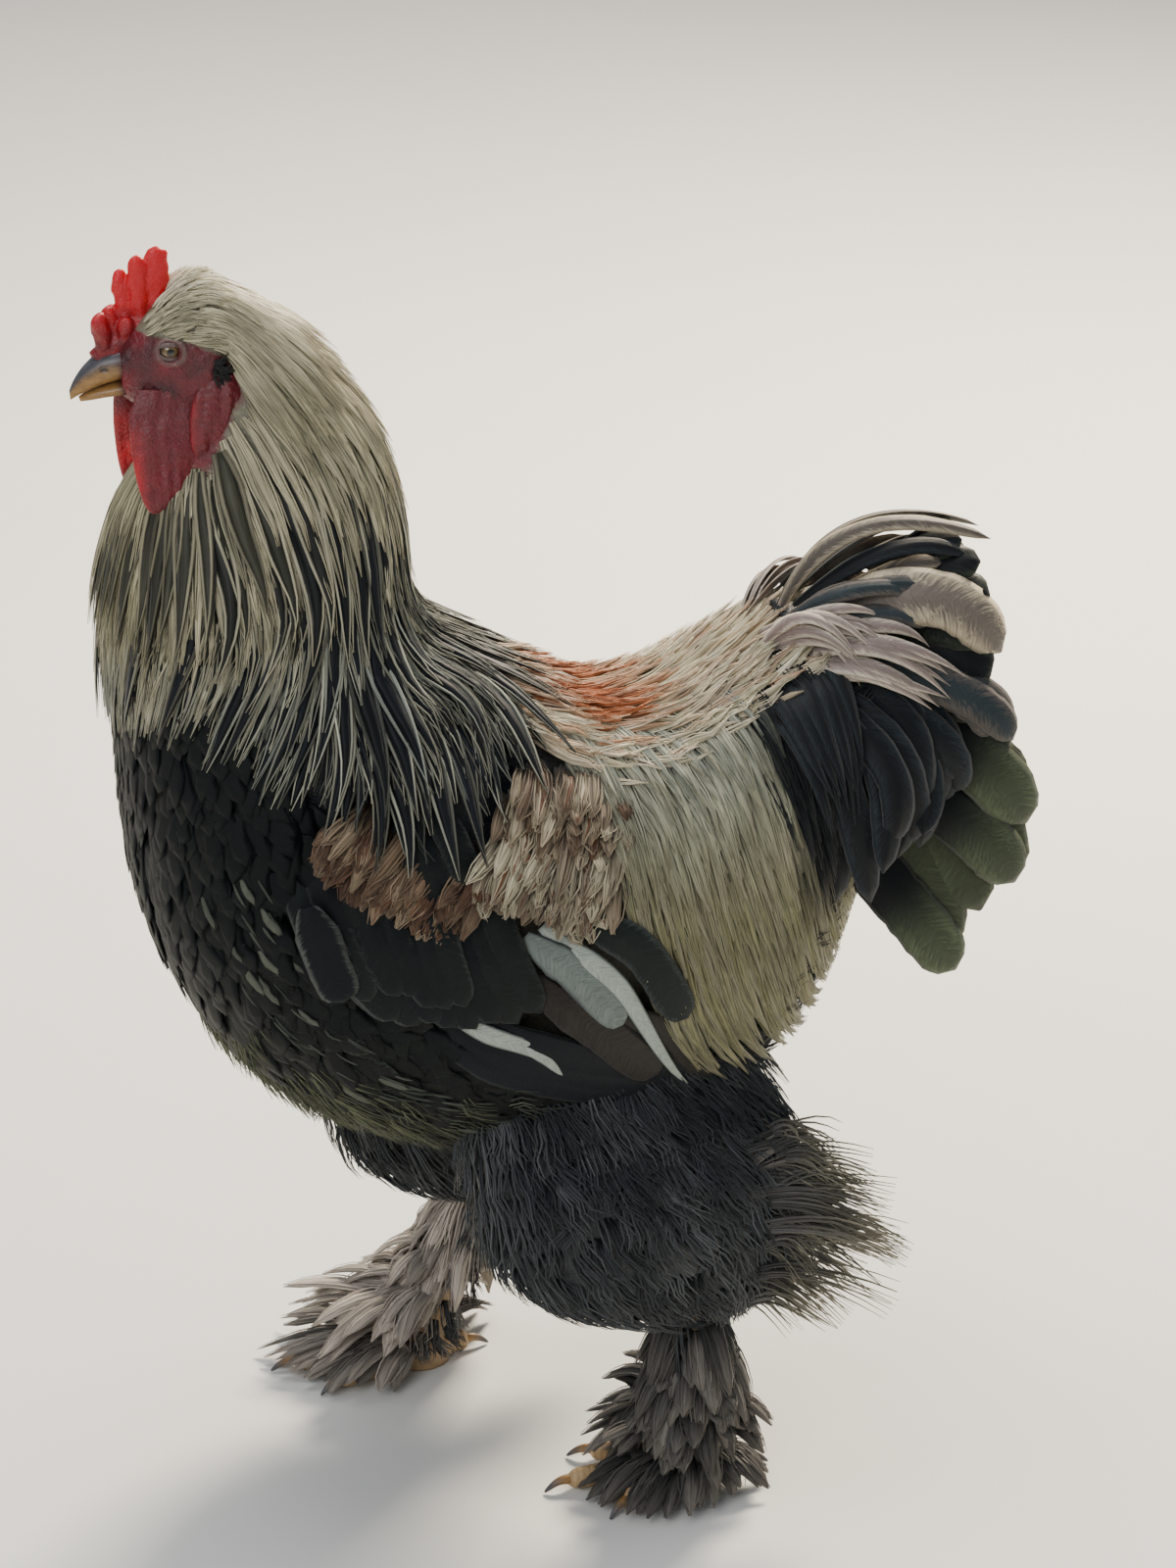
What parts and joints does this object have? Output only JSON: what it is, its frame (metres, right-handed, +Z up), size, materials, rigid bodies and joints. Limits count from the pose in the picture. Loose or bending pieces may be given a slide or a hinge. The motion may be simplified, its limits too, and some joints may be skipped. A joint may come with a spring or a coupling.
{
  "type": "brahma chicken model",
  "caption": "Still life-size model of a Brahma cock standing with one foot forward, with feathered legs and feet, cape of hackle, folded wings and spread tail.",
  "frame": {"origin": "on the floor, under the middle of the model's box", "axes": "-X is the way the bird faces, +Z is up, -Y is its left side"},
  "size_m": [0.52, 0.2802, 0.717],
  "materials": {
    "face_skin": "fine-grained matt skin",
    "comb_skin": "soft satin skin",
    "beak_horn": "satin horn",
    "claw_horn": "satin horn",
    "eye": "wet gloss",
    "hackle_feather": "soft feather",
    "body_feather": "soft feather",
    "wing_feather": "satin feather",
    "tail_feather": "satin feather",
    "fluff_feather": "downy feather",
    "leg_scale": "scaled skin"
  },
  "bodies": {
    "root": {"head": "face_skin", "eye_left": "eye", "eye_right": "eye", "beak_upper": "beak_horn", "beak_lower": "beak_horn", "comb": "comb_skin", "wattle_left": "comb_skin", "wattle_right": "comb_skin", "earlobe_left": "comb_skin", "earlobe_right": "comb_skin", "neck": "hackle_feather", "torso": "body_feather", "wing_left": "wing_feather", "wing_right": "wing_feather", "tail": "tail_feather", "thigh_left": "fluff_feather", "thigh_right": "fluff_feather", "shank_left": "leg_scale", "shank_right": "leg_scale", "foot_left": "leg_scale", "foot_right": "leg_scale", "claw_left_1": "claw_horn", "claw_left_2": "claw_horn", "claw_left_3": "claw_horn", "claw_left_4": "claw_horn", "claw_right_1": "claw_horn", "claw_right_2": "claw_horn", "claw_right_3": "claw_horn", "claw_right_4": "claw_horn"}
  },
  "joints": []
}
